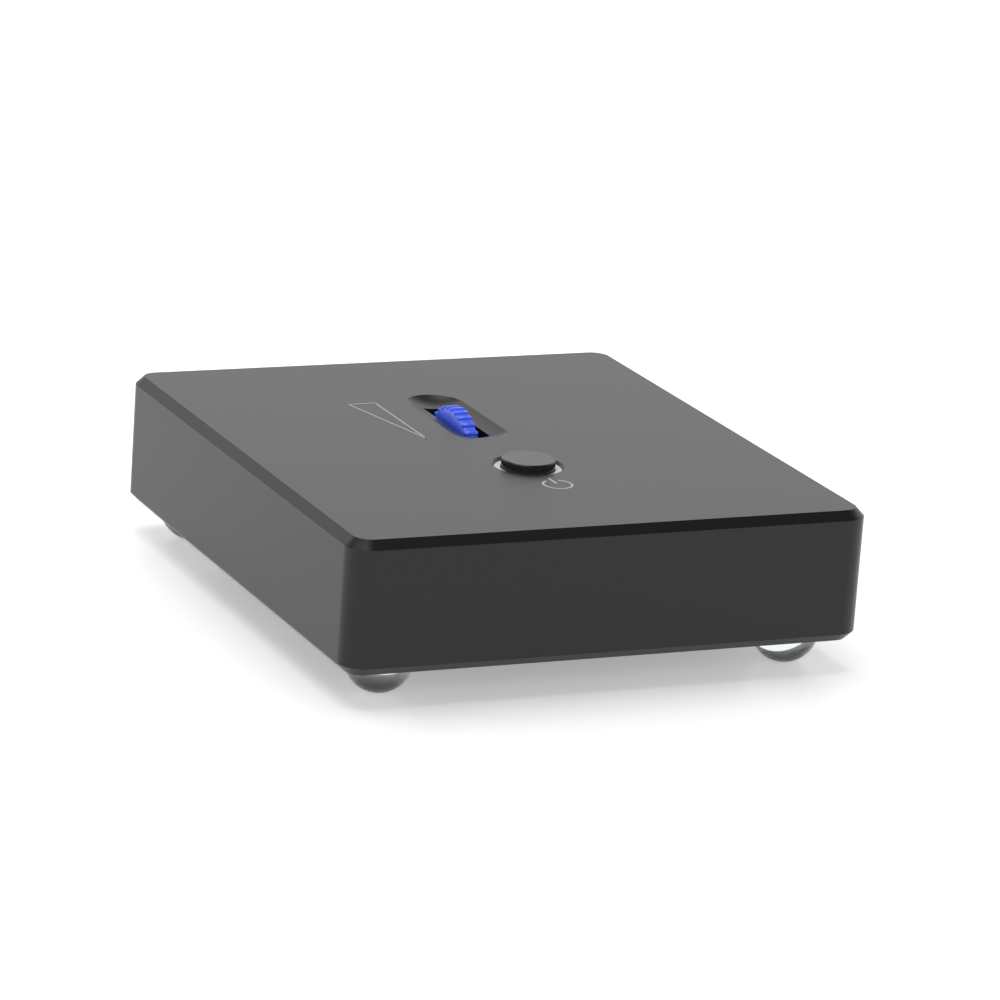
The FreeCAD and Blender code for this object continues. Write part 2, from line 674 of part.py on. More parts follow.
def dc_housing():
    """The power inlet's moulding, whose round nose fills its hole in the wall."""
    body = block(dc_x - DC_WIDE / 2, dc_x + DC_WIDE / 2, back_inside - DC_LONG, back_inside,
                 board_top, board_top + DC_TALL)
    nose = rod(DC_NOSE, V(dc_x, back_inside, panel_z), WALL, Y_AXIS)
    bore = revolved([(back - DC_BORE_DEEP, 0), (back - DC_BORE_DEEP, DC_BORE), (back - DC_MOUTH_BEVEL, DC_BORE),
                     (back + OVERRUN, DC_BORE + DC_MOUTH_BEVEL + OVERRUN), (back + OVERRUN, 0)],
                    V(dc_x, 0, panel_z), Y_AXIS)
    return body.fuse(nose).cut(bore)


def dc_pin():
    """The inlet's centre pin, with a bevelled tip."""
    long = DC_BORE_DEEP - DC_PIN_SUNK
    return revolved([(0, 0), (0, DC_PIN), (long - DC_PIN_TIP, DC_PIN), (long, DC_PIN - DC_PIN_TIP), (long, 0)],
                    V(dc_x, back - DC_BORE_DEEP, panel_z), Y_AXIS)


selector_x = left + SELECTOR_FROM_LEFT
selector_y = front + SELECTOR_FROM_FRONT


def selector_body():
    """The slide switch's body, hung under the board, with a pocket for its knob."""
    body = centred_block(selector_x, selector_y, SELECTOR_LONG, SELECTOR_WIDE, base_top + SELECTOR_PLAY, board_low)
    pocket_long = SELECTOR_KNOB_LONG + SELECTOR_TRAVEL + 2 * SELECTOR_PLAY
    pocket_wide = SELECTOR_KNOB_WIDE + 2 * SELECTOR_PLAY
    z0 = base_top + SELECTOR_PLAY
    return body.cut(centred_block(selector_x, selector_y, pocket_long, pocket_wide, z0 - OVERRUN,
                                  z0 + SELECTOR_POCKET + SELECTOR_PLAY))


def selector_knob():
    """The slide switch's knob, ribbed for a fingernail. It rests at the left end of its slot."""
    x = selector_x - SELECTOR_TRAVEL / 2
    low = case_low + KNOB_SUNK
    knob = centred_block(x, selector_y, SELECTOR_KNOB_LONG, SELECTOR_KNOB_WIDE, low,
                         base_top + SELECTOR_PLAY + SELECTOR_POCKET)
    pitch = SELECTOR_KNOB_LONG / SELECTOR_RIBS
    for i in range(SELECTOR_RIBS - 1):
        at = x - SELECTOR_KNOB_LONG / 2 + (i + 1) * pitch
        knob = knob.cut(centred_block(at, selector_y, pitch / 2, 2 * SELECTOR_KNOB_WIDE,
                                      low - OVERRUN, low + SELECTOR_RIB_DEEP))
    return knob


def can_capacitor(x, y):
    """One electrolytic capacitor: a round can on a moulded base."""
    can = rod(CAN_RADIUS, V(x, y, board_top + CAN_BASE_HIGH), CAN_HIGH - CAN_BASE_HIGH)
    side = 2 * (CAN_RADIUS + CAN_RIM)
    return can.fuse(centred_block(x, y, side, side, board_top, board_top + CAN_BASE_HIGH))


def chip(x, y):
    """One amplifier chip with its bent legs."""
    body = centred_block(x, y, CHIP_LONG, CHIP_WIDE, board_top + CHIP_LEG_WIDE / 2, board_top + CHIP_HIGH)
    for s in (-1, 1):
        for i in range(CHIP_LEGS):
            at = x + (i - (CHIP_LEGS - 1) / 2) * CHIP_LEG_PITCH
            y0 = y + s * (CHIP_WIDE / 2 + CHIP_LEG / 2)
            body = body.fuse(centred_block(at, y0, CHIP_LEG_WIDE, CHIP_LEG, board_top, board_top + CHIP_HIGH / 2))
    return body


def resistor(x, y):
    """One chip resistor with its two plated ends, flat on the board."""
    body = centred_block(x, y, RESISTOR_LONG, RESISTOR_WIDE, board_top, board_top + RESISTOR_HIGH)
    for s in (-1, 1):
        end = x + s * (RESISTOR_LONG - RESISTOR_END) / 2
        body = body.fuse(centred_block(end, y, RESISTOR_END, RESISTOR_WIDE, board_top, board_top + RESISTOR_END_HIGH))
    return body


def relay(x, y):
    """The muting relay, a moulded box with bevelled top edges."""
    body = centred_block(x, y, RELAY_LONG, RELAY_WIDE, board_top, board_top + RELAY_HIGH)
    return body.makeChamfer(RELAY_EDGE, edges_at(body, board_top + RELAY_HIGH))


def regulator():
    """The voltage regulator: a small moulded block on its cooling tab."""
    x = left + REGULATOR_FROM_LEFT
    y = front + REGULATOR_FROM_FRONT
    body = centred_block(x, y, REGULATOR_LONG, REGULATOR_WIDE, board_top, board_top + REGULATOR_HIGH)
    tab = centred_block(x, y + (REGULATOR_WIDE + REGULATOR_TAB_LONG) / 2, REGULATOR_TAB, REGULATOR_TAB_LONG,
                        board_top, board_top + REGULATOR_TAB_THICK)
    return body.fuse(tab)


def main():
    os.makedirs("parts", exist_ok=True)
    save("case_shell", case_shell())
    save("base_plate", base_plate())
    long = BASE_THICK + SCREW_BITE - SCREW_PLAY
    save("base_screws", group([countersunk_screw(V(x, y, case_low), long) for x, y in base_posts]))
    under = board_low - SCREW_HEAD_HIGH
    long = SCREW_HEAD_HIGH + BOARD_THICK + SCREW_BITE - SCREW_PLAY
    save("board_screws", group([round_screw(V(x, y, under), long) for x, y in board_posts]))
    for name, x, y in foot_places():
        save(name, foot(x, y))
    save("circuit_board", circuit_board())
    save("gain_wheel", gain_wheel())
    save("gain_spindle", gain_spindle())
    save("pot_body", pot_body())
    save("pot_plate", pot_plate())
    save("pot_bush", pot_bush())
    save("pot_lugs", pot_lugs())
    save("power_button", power_button())
    save("switch_plunger", switch_plunger())
    save("switch_body", switch_body())
    save("switch_cover", switch_cover())
    save("light_ring", light_ring())
    save("ring_lamps", ring_lamps())
    for name, across in socket_places():
        x = left + across
        save(name + "_shell", socket_shell(x))
        save(name + "_insulator", socket_insulator(x))
        save(name + "_contact", socket_contact(x))
        save(name + "_housing", socket_housing(x))
    save("ground_stud", ground_stud())
    save("ground_lock_nut", ground_lock_nut())
    save("ground_washer", ground_washer())
    save("ground_nut", ground_nut())
    save("dc_housing", dc_housing())
    save("dc_pin", dc_pin())
    save("selector_body", selector_body())
    save("selector_knob", selector_knob())
    save("can_capacitors", group([can_capacitor(left + CAN_FROM_LEFT + s * CAN_PITCH,
                                                front + CAN_FROM_FRONT + i * CAN_PITCH)
                                  for s in (0, 1) for i in range(CAN_ROWS)]))
    save("film_capacitors", group([centred_block(left + FILM_FROM_LEFT, front + FILM_FROM_FRONT + i * FILM_PITCH,
                                                 FILM_LONG, FILM_WIDE, board_top, board_top + FILM_HIGH)
                                   for i in range(FILM_COUNT)]))
    save("amplifier_chips", group([chip(left + CHIP_FROM_LEFT, front + CHIP_FROM_FRONT + i * CHIP_PITCH)
                                   for i in range(CHIP_COUNT)]))
    save("resistors", group([resistor(right - RESISTOR_FROM_RIGHT, front + RESISTOR_FROM_FRONT + i * RESISTOR_PITCH)
                             for i in range(RESISTOR_COUNT)]))
    save("muting_relay", relay(left + RELAY_FROM_LEFT, front + RELAY_FROM_FRONT))
    save("voltage_regulator", regulator())


main()
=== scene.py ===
# %% [markdown]
# A small phono preamp on clear feet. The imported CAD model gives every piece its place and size.
# This script gives the pieces their finishes, and makes finer ones where the eye comes close.

# %% Load the frame
import bmesh
import bpy
import json
from math import acos, cos, pi, radians, sin
from mathutils import Matrix, Vector


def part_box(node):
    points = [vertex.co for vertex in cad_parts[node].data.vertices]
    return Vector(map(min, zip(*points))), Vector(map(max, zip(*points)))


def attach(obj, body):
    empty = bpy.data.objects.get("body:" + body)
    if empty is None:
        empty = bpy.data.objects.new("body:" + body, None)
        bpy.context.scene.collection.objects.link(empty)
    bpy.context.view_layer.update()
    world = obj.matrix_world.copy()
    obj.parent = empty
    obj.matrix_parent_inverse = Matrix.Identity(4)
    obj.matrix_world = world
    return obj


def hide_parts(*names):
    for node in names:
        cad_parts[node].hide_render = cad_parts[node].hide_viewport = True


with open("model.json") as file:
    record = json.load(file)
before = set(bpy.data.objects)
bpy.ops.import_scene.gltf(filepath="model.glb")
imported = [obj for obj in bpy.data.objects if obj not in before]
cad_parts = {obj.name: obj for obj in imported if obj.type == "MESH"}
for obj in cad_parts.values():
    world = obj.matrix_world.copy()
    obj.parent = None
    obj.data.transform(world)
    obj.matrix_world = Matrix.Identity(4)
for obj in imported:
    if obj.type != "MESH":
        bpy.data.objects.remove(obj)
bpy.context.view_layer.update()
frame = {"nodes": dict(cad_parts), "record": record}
nodes = frame["nodes"]

# %% [markdown]
# The view is the photograph's: a long lens, low and to the left of the front.
# Its place comes from a fit to the case's straight edges.

# %% Camera
MM = 0.001
LENS = 176.06
CAMERA_PLACE = (-292.0, -632.6, 216.7)
CAMERA_TURN = (73.724, -3.907, -23.988)
camera_data = bpy.data.cameras.new("view")
camera_data.lens = LENS
camera_data.sensor_width = 36.0
camera_data.clip_end = 20.0
camera = bpy.data.objects.new("view", camera_data)
camera.location = [v * MM for v in CAMERA_PLACE]
camera.rotation_euler = [radians(a) for a in CAMERA_TURN]
bpy.context.collection.objects.link(camera)
bpy.context.scene.camera = camera
bpy.context.scene.view_settings.view_transform = "Standard"
print("camera", tuple(round(v, 3) for v in camera.location))

# %% [markdown]
# Two small helpers serve every material. One turns a hex colour, as a paint chart gives it, to linear light.
# The other adds a node with its settings and its links in one line.

# %% Helpers for materials
def linear(hex_colour):
    """An sRGB hex colour as linear red, green, blue and alpha."""
    shares = [int(hex_colour[i:i + 2], 16) / 255 for i in (1, 3, 5)]
    return [s / 12.92 if s <= 0.04045 else ((s + 0.055) / 1.055) ** 2.4 for s in shares] + [1.0]


def add(tree, kind, settings=None, links=None):
    """Adds a node. Settings name a property or an input, and links name an input and the output it reads."""
    node = tree.nodes.new(kind)
    for key, value in (settings or {}).items():
        if isinstance(key, str) and hasattr(node, key):
            setattr(node, key, value)
        else:
            node.inputs[key].default_value = value
    for key, output in (links or {}).items():
        tree.links.new(output, node.inputs[key])
    return node


finishes = {}


def new_finish(slot, name, settings):
    """A material with its shader set, and its Object coordinates scaled so that patterns are in millimetres."""
    material = bpy.data.materials.new(name)
    material.use_nodes = True
    tree = material.node_tree
    shader = tree.nodes["Principled BSDF"]
    for key, value in settings.items():
        shader.inputs[key].default_value = value
    object_place = add(tree, "ShaderNodeTexCoord").outputs["Object"]
    place = add(tree, "ShaderNodeMapping", {"Scale": (1000, 1000, 1000)}, {"Vector": object_place})
    finishes[slot] = material
    return tree, shader, place.outputs["Vector"]


print("helpers ready")

# %% [markdown]
# The case is milled aluminium, anodised black. The dyed oxide is clear and hard, so it mirrors like a varnish
# over near black: low on the top face it reflects the white studio and looks grey. The cutter leaves faint level
# lines on its sides, which a noise stretched along X and Y gives to the bump. Its IOR is set a little low, to fit
# the photograph's reflections. The button is turned, so it has the same oxide in a finer grain without the lines.

# %% Black anodised aluminium
tree, shader, place = new_finish("black_anodised", "black_anodised_aluminium_milled",
                                 {"Base Color": linear("#121417"), "IOR": 1.41})
level = add(tree, "ShaderNodeMapping", {"Scale": (0.05, 0.05, 3.2)}, {"Vector": place})
lines = add(tree, "ShaderNodeTexNoise", {"Scale": 1.0, "Detail": 4.0}, {"Vector": level.outputs["Vector"]})
grain = add(tree, "ShaderNodeTexNoise", {"Scale": 7.0, "Detail": 2.0}, {"Vector": place})
spread = add(tree, "ShaderNodeMapRange", {"To Min": 0.29, "To Max": 0.35}, {"Value": grain.outputs[0]})
tree.links.new(spread.outputs["Result"], shader.inputs["Roughness"])
cut = add(tree, "ShaderNodeBump", {"Strength": 0.35, "Distance": 0.00003}, {"Height": lines.outputs[0]})
skin = add(tree, "ShaderNodeBump", {"Strength": 0.25, "Distance": 0.00001},
           {"Height": grain.outputs[0], "Normal": cut.outputs["Normal"]})
tree.links.new(skin.outputs["Normal"], shader.inputs["Normal"])

tree, shader, place = new_finish("button_black", "black_anodised_aluminium_turned",
                                 {"Base Color": linear("#121417"), "IOR": 1.47})
grain = add(tree, "ShaderNodeTexNoise", {"Scale": 9.0, "Detail": 2.0}, {"Vector": place})
spread = add(tree, "ShaderNodeMapRange", {"To Min": 0.24, "To Max": 0.3}, {"Value": grain.outputs[0]})
tree.links.new(spread.outputs["Result"], shader.inputs["Roughness"])
skin = add(tree, "ShaderNodeBump", {"Strength": 0.2, "Distance": 0.00001}, {"Height": grain.outputs[0]})
tree.links.new(skin.outputs["Normal"], shader.inputs["Normal"])
print("finish", len(finishes))

# %% [markdown]
# The gain wheel is moulded in a bright blue plastic, and a thin clear coat gives it the shine of a new part.
# The fine sparkle of its mould comes from a small noise in the roughness.

# %% Blue moulding
tree, shader, place = new_finish("blue_moulding", "blue_abs_moulded",
                                 {"IOR": 1.53, "Coat Weight": 0.25, "Coat Roughness": 0.15})
flow = add(tree, "ShaderNodeTexNoise", {"Scale": 0.9, "Detail": 2.0}, {"Vector": place})
tone = add(tree, "ShaderNodeMix", {"data_type": "RGBA", 6: linear("#3a5af2"), 7: linear("#4f6ffd")},
           {0: flow.outputs[0]})
tree.links.new(tone.outputs[2], shader.inputs["Base Color"])
spark = add(tree, "ShaderNodeTexNoise", {"Scale": 8.0, "Detail": 2.0}, {"Vector": place})
gloss = add(tree, "ShaderNodeMapRange", {"To Min": 0.24, "To Max": 0.36}, {"Value": spark.outputs[0]})
tree.links.new(gloss.outputs["Result"], shader.inputs["Roughness"])
skin = add(tree, "ShaderNodeBump", {"Strength": 0.15, "Distance": 0.00001}, {"Height": spark.outputs[0]})
tree.links.new(skin.outputs["Normal"], shader.inputs["Normal"])
print("finish", len(finishes))

# %% [markdown]
# Clear feet are cast polyurethane domes. They bend light like glass, with a trace of grey and a soft skin.
# The light ring is opal acrylic, which its filler makes white all through.

# %% Clear and opal plastics
tree, shader, place = new_finish("clear_foot", "clear_polyurethane_cast",
                                 {"Base Color": linear("#f1f4f5"), "IOR": 1.49, "Transmission Weight": 1.0})
ripple = add(tree, "ShaderNodeTexNoise", {"Scale": 0.35, "Detail": 1.0}, {"Vector": place})
gloss = add(tree, "ShaderNodeMapRange", {"To Min": 0.0, "To Max": 0.02}, {"Value": ripple.outputs[0]})
tree.links.new(gloss.outputs["Result"], shader.inputs["Roughness"])
skin = add(tree, "ShaderNodeBump", {"Strength": 0.05, "Distance": 0.0001}, {"Height": ripple.outputs[0]})
tree.links.new(skin.outputs["Normal"], shader.inputs["Normal"])

tree, shader, place = new_finish("opal_acrylic", "opal_acrylic_turned",
                                 {"IOR": 1.49, "Roughness": 0.35})
milk = add(tree, "ShaderNodeTexNoise", {"Scale": 0.8, "Detail": 2.0}, {"Vector": place})
tone = add(tree, "ShaderNodeMix", {"data_type": "RGBA", 6: linear("#cdd2d6"), 7: linear("#dde1e3")},
           {0: milk.outputs[0]})
tree.links.new(tone.outputs[2], shader.inputs["Base Color"])
print("finish", len(finishes))

# %% [markdown]
# Turned and plated metals keep the fine rings that the lathe's tool leaves across their axis.
# Here a noise, short along the axis and long across it, moves the roughness and a small bump.
# The sockets and the terminal lie along Y, so their rings are thin in Y.

# %% Plated and plain metals
METALS = (("gold_plate", "gold_plate_turned", "#e0b565", 0.2, (0.3, 6.0, 0.3)),
          ("brass", "brass_turned", "#cfa85f", 0.28, (6.0, 0.3, 0.3)),
          ("bright_steel", "nickel_plated_steel_pressed", "#c9c8c4", 0.27, (0.5, 4.0, 4.0)),
          ("black_steel", "black_oxide_steel", "#3a3b3e", 0.42, (2.0, 2.0, 2.0)),
          ("tin", "aluminium_can_drawn", "#c6c8ca", 0.3, (0.4, 0.4, 4.0)))
for slot, name, colour, rough, stretch in METALS:
    tree, shader, place = new_finish(slot, name, {"Base Color": linear(colour), "Metallic": 1.0})
    along = add(tree, "ShaderNodeMapping", {"Scale": stretch}, {"Vector": place})
    tool = add(tree, "ShaderNodeTexNoise", {"Scale": 1.0, "Detail": 3.0}, {"Vector": along.outputs["Vector"]})
    gloss = add(tree, "ShaderNodeMapRange", {"To Min": rough - 0.06, "To Max": rough + 0.08},
                {"Value": tool.outputs[0]})
    tree.links.new(gloss.outputs["Result"], shader.inputs["Roughness"])
    skin = add(tree, "ShaderNodeBump", {"Strength": 0.3, "Distance": 0.00001}, {"Height": tool.outputs[0]})
    tree.links.new(skin.outputs["Normal"], shader.inputs["Normal"])
    print("metal", name)

# %% [markdown]
# Mouldings differ in their colour and in how the mould was etched. A fine pimpled bump at the etching's scale
# tells a matt housing from a glossy insulator, and a slow change of tone keeps it from looking painted.

# %% Moulded plastics
MOULDINGS = (("dark_moulding", "black_nylon_moulded", "#1b1c1e", "#26272a", 0.52, 5.0, 0.00002),
             ("light_moulding", "white_pbt_moulded", "#d3d2ca", "#e1e0d9", 0.45, 5.0, 0.00001),
             ("white_moulding", "white_acetal_moulded", "#e2e2de", "#efefec", 0.3, 3.0, 0.000005),
             ("red_moulding", "red_acetal_moulded", "#b3151a", "#c81f22", 0.3, 3.0, 0.000005),
             ("film_moulding", "red_epoxy_cased_film", "#8d1d18", "#a3261e", 0.26, 2.0, 0.00001))
for slot, name, low, high, rough, pimples, deep in MOULDINGS:
    tree, shader, place = new_finish(slot, name, {"IOR": 1.5})
    flow = add(tree, "ShaderNodeTexNoise", {"Scale": 0.25, "Detail": 2.0}, {"Vector": place})
    tone = add(tree, "ShaderNodeMix", {"data_type": "RGBA", 6: linear(low), 7: linear(high)},
               {0: flow.outputs[0]})
    tree.links.new(tone.outputs[2], shader.inputs["Base Color"])
    etch = add(tree, "ShaderNodeTexNoise", {"Scale": pimples, "Detail": 1.0}, {"Vector": place})
    gloss = add(tree, "ShaderNodeMapRange", {"To Min": rough - 0.05, "To Max": rough + 0.05},
                {"Value": etch.outputs[0]})
    tree.links.new(gloss.outputs["Result"], shader.inputs["Roughness"])
    skin = add(tree, "ShaderNodeBump", {"Strength": 0.4, "Distance": deep}, {"Height": etch.outputs[0]})
    tree.links.new(skin.outputs["Normal"], shader.inputs["Normal"])
    print("moulding", name)

# %% [markdown]
# The circuit board is glass epoxy under a green mask. Copper tracks below the mask show as paler lines, drawn as
# the joints of a brick pattern 1.25 mm long and half as wide. The glass weave shows as a faint check.

# %% Circuit board
tree, shader, place = new_finish("circuit_board", "green_solder_mask_on_glass_epoxy", {"IOR": 1.5, "Roughness": 0.3})
tracks = add(tree, "ShaderNodeTexBrick", {"Scale": 0.4, "Mortar Size": 0.06, "Color1": linear("#0f4a2c"),
                                          "Color2": linear("#125535"), "Mortar": linear("#1f7548")},
             {"Vector": place})
tree.links.new(tracks.outputs["Color"], shader.inputs["Base Color"])
weave = add(tree, "ShaderNodeTexChecker", {"Scale": 2.5}, {"Vector": place})
skin = add(tree, "ShaderNodeBump", {"Strength": 0.15, "Distance": 0.00001}, {"Height": weave.outputs["Fac"]})
tree.links.new(skin.outputs["Normal"], shader.inputs["Normal"])
print("finish", len(finishes))

# %% [markdown]
# The marks on the top are screen printed in pale grey ink. The ink stands a hundredth of a millimetre high,
# and the mesh of the screen leaves it a little uneven.

# %% Printed ink
tree, shader, place = new_finish("print", "pale_grey_screen_ink", {"IOR": 1.48, "Roughness": 0.55})
mesh_mark = add(tree, "ShaderNodeTexNoise", {"Scale": 6.0, "Detail": 1.0}, {"Vector": place})
tone = add(tree, "ShaderNodeMix", {"data_type": "RGBA", 6: linear("#aaadaf"), 7: linear("#bfc2c3")},
           {0: mesh_mark.outputs[0]})
tree.links.new(tone.outputs[2], shader.inputs["Base Color"])
print("finishes", sorted(finishes))

# %% [markdown]
# Each CAD node takes its finish from the record's material slot, so the record stays the one list of finishes.

# %% Dress the CAD nodes
slot_of = {part["node"]: part["material_slot"] for part in frame["record"]["subparts"]}
body_of = {node: body for body, names in frame["record"]["behaviour"]["bodies"].items() for node in names}
for name, node in nodes.items():
    if not node.material_slots:
        node.data.materials.append(None)
    for material_slot in node.material_slots:
        material_slot.material = finishes[slot_of[name]]
print("dressed", len(nodes), "nodes")

# %% [markdown]
# A CAD mesh is loose flat triangles, which show as facets on a round surface. For pieces in plain view a copy
# is welded, smoothed up to each real edge, and weighted by area so that flat faces stay flat.

# %% Welded copies
def install(piece, *names):
    """A finished piece rides with the body of the nodes it stands for, and takes their finish."""
    piece.data.materials.clear()
    piece.data.materials.append(finishes[slot_of[names[0]]])
    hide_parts(*names)
    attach(piece, body_of[names[0]])


def settle(bm, name, crease):
    """Turns a bmesh into a piece with smooth faces and sharp edges past an angle."""
    mesh = bpy.data.meshes.new(name)
    bm.to_mesh(mesh)
    bm.free()
    if "custom_normal" in mesh.attributes:
        mesh.attributes.remove(mesh.attributes["custom_normal"])
    mesh.shade_smooth()
    mesh.set_sharp_from_angle(angle=radians(crease))
    raw = bpy.data.objects.new(name, mesh)
    bpy.context.collection.objects.link(raw)
    weights = raw.modifiers.new("weights", "WEIGHTED_NORMAL")
    weights.keep_sharp = True
    evaluated = raw.evaluated_get(bpy.context.evaluated_depsgraph_get())
    plain = bpy.data.meshes.new_from_object(evaluated)
    raw.modifiers.clear()
    raw.data = plain
    return raw


def welded_copy(node_name, crease=16):
    """A welded and smoothed copy of a CAD node."""
    bm = bmesh.new()
    bm.from_mesh(nodes[node_name].data)
    bmesh.ops.remove_doubles(bm, verts=bm.verts, dist=2e-6)
    piece = settle(bm, node_name + "_finished", crease)
    install(piece, node_name)


WELDED = ["case_shell", "base_plate", "light_ring", "dc_housing", "ground_lock_nut", "ground_washer",
          "base_screws", "gain_spindle", "pot_bush", "switch_plunger"]
for side in ("out_left", "out_right", "in_left", "in_right"):
    WELDED += [side + "_insulator", side + "_contact"]
for name in WELDED:
    welded_copy(name)
print("welded", len(WELDED), "pieces")

# %% [markdown]
# Turned pieces are made as on a lathe: a profile of (distance along the axis, radius) goes once round.
# The wheel's, the nut's and the shells' profiles have each corner eased by a small arc first, because no real edge is
# perfectly sharp.

# %% Lathe
def eased(profile, reach, steps=3):
    """The profile with each corner between two radii rounded over the given reach in millimetres."""
    points = [Vector(p) for p in profile]
    out = [points[0]]
    for before, here, after in zip(points, points[1:], points[2:]):
        into, away = here - before, after - here
        near = min(reach, into.length / 2.2, away.length / 2.2)
        start = here - into.normalized() * near
        end = here + away.normalized() * near
        for i in range(steps + 1):
            t = i / steps
            out.append(start * (1 - t) ** 2 + here * (2 * t * (1 - t)) + end * t ** 2)
    return [tuple(p) for p in out + [points[-1]]]


AXES = {"X": ((1, 0, 0), (0, 1, 0), (0, 0, 1)), "Y": ((0, 1, 0), (0, 0, 1), (1, 0, 0)),
        "Z": ((0, 0, 1), (1, 0, 0), (0, 1, 0))}


def turned(bm, profile, centre, axis, steps=96, ring=False):
    """Adds a turned solid, in metres from millimetres. A ring's profile closes on itself, else it ends on the axis."""
    along, side, up = (Vector(v) for v in AXES[axis])
    rows = []
    for distance, radius in profile:
        start = Vector(centre) + along * distance
        if radius < 1e-6:
            rows.append([bm.verts.new(start * MM)])
        else:
            rows.append([bm.verts.new((start + side * (radius * cos(2 * pi * i / steps))
                                       + up * (radius * sin(2 * pi * i / steps))) * MM) for i in range(steps)])
    pairs = list(zip(rows, rows[1:])) + ([(rows[-1], rows[0])] if ring else [])
    for low, high in pairs:
        for i in range(steps):
            j = (i + 1) % steps
            corners = [low[i % len(low)], low[j % len(low)], high[j % len(high)], high[i % len(high)]]
            corners = [c for k, c in enumerate(corners) if c not in corners[:k]]
            if len(corners) > 2:
                bm.faces.new(corners)
    bmesh.ops.recalc_face_normals(bm, faces=bm.faces)


def middle(node_name):
    """The middle of a node's box in millimetres."""
    low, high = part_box(node_name)
    return [(a + b) / 2 / MM for a, b in zip(low, high)]


print("lathe ready")

# %% [markdown]
# A foot is a dome cast against a plate. Its outline is an arc from the plate down to the flat that it stands on.
# A hair of air keeps its flat top out of the base plate's plane, and lets the top mirror light from inside.

# %% Feet
FOOT_RADIUS = 5.0
FOOT_HEIGHT = 4.8
AIR_ABOVE = 0.02
ARC_STEPS = 24
FOOT_NODES = ["foot_front_left", "foot_front_right", "foot_back_left", "foot_back_right"]
for name in FOOT_NODES:
    x, y, _ = middle(name)
    lowest = acos((FOOT_RADIUS ** 2 - FOOT_HEIGHT ** 2) ** 0.5 / FOOT_RADIUS)
    arc = [(min(FOOT_HEIGHT - AIR_ABOVE, FOOT_HEIGHT - FOOT_RADIUS * sin(lowest * i / ARC_STEPS)),
            FOOT_RADIUS * cos(lowest * i / ARC_STEPS)) for i in range(ARC_STEPS + 1)]
    bm = bmesh.new()
    turned(bm, [(FOOT_HEIGHT - AIR_ABOVE, 0)] + arc + [(0, 0)], (x, y, 0), "Z")
    install(settle(bm, name + "_dome", 40), name)
print("feet", len(FOOT_NODES))

# %% [markdown]
# The power button is turned from bar, with a fine bevel that catches the light, and anodised with the case.

# %% Power button
button_low, button_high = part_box("power_button")
button_x, button_y, _ = middle("power_button")
top = button_high[2] / MM
stem = button_low[2] / MM
BUTTON_RADIUS = 3.95
BUTTON_BEVEL = 0.14
CAP_HIGH = 2.5
STEM_RADIUS = 2.6
SOCKET_RADIUS = 1.7
SOCKET_DEEP = 1.0
cap = [(stem + SOCKET_DEEP, 0), (stem + SOCKET_DEEP, SOCKET_RADIUS), (stem, SOCKET_RADIUS), (stem, STEM_RADIUS),
       (top - CAP_HIGH, STEM_RADIUS), (top - CAP_HIGH, BUTTON_RADIUS), (top - BUTTON_BEVEL, BUTTON_RADIUS),
       (top, BUTTON_RADIUS - BUTTON_BEVEL), (top, 0)]
bm = bmesh.new()
turned(bm, cap, (button_x, button_y, 0), "Z")
button = settle(bm, "power_button_cap", 30)
install(button, "power_button")
button.data.materials[0] = finishes["button_black"]
print("button top at", round(top, 3))

# %% [markdown]
# The wheel and the terminal's nut both carry ridges round their edge. One Geometry Nodes tree lays a ridge at
# even angles round the X axis and joins it to the turned core. Its inputs are the sizes that differ.

# %% Ridge tree
def ridge_tree():
    """Instances of a ridge round the X axis, joined to the core, realised and given one material."""
    tree = bpy.data.node_groups.new("ridges_round_an_edge", "GeometryNodeTree")
    face = tree.interface
    face.new_socket("Core", in_out="INPUT", socket_type="NodeSocketGeometry")
    face.new_socket("Ridge", in_out="INPUT", socket_type="NodeSocketObject")
    face.new_socket("Count", in_out="INPUT", socket_type="NodeSocketInt")
    face.new_socket("Radius", in_out="INPUT", socket_type="NodeSocketFloat")
    face.new_socket("Finish", in_out="INPUT", socket_type="NodeSocketMaterial")
    face.new_socket("Piece", in_out="OUTPUT", socket_type="NodeSocketGeometry")
    sizes = add(tree, "NodeGroupInput").outputs
    ring = add(tree, "GeometryNodeMeshCircle", {"fill_type": "NONE"},
               {"Vertices": sizes["Count"], "Radius": sizes["Radius"]})
    upright = add(tree, "GeometryNodeTransform", {"Rotation": (0, pi / 2, 0)}, {"Geometry": ring.outputs["Mesh"]})
    point = add(tree, "GeometryNodeInputPosition")
    lean = add(tree, "FunctionNodeAlignRotationToVector", {"axis": "Z", "pivot_axis": "X"},
               {"Vector": point.outputs["Position"]})
    ridge = add(tree, "GeometryNodeObjectInfo", {}, {"Object": sizes["Ridge"]})
    laid = add(tree, "GeometryNodeInstanceOnPoints", {},
               {"Points": upright.outputs["Geometry"], "Instance": ridge.outputs["Geometry"],
                "Rotation": lean.outputs["Rotation"]})
    joined = add(tree, "GeometryNodeJoinGeometry")
    tree.links.new(sizes["Core"], joined.inputs["Geometry"])
    tree.links.new(laid.outputs["Instances"], joined.inputs["Geometry"])
    real = add(tree, "GeometryNodeRealizeInstances", {}, {"Geometry": joined.outputs["Geometry"]})
    painted = add(tree, "GeometryNodeSetMaterial", {},
                  {"Geometry": real.outputs["Geometry"], "Material": sizes["Finish"]})
    add(tree, "NodeGroupOutput", {}, {"Piece": painted.outputs["Geometry"]})
    return tree


ridges = ridge_tree()
print("tree inputs", [s.name for s in ridges.interface.items_tree])

# %% [markdown]
# A ridge is a low rounded bar. Its section is a flattened arch, and its ends taper into the core.
# The bar lies along X with its foot below the core's surface, so the two close over each other.

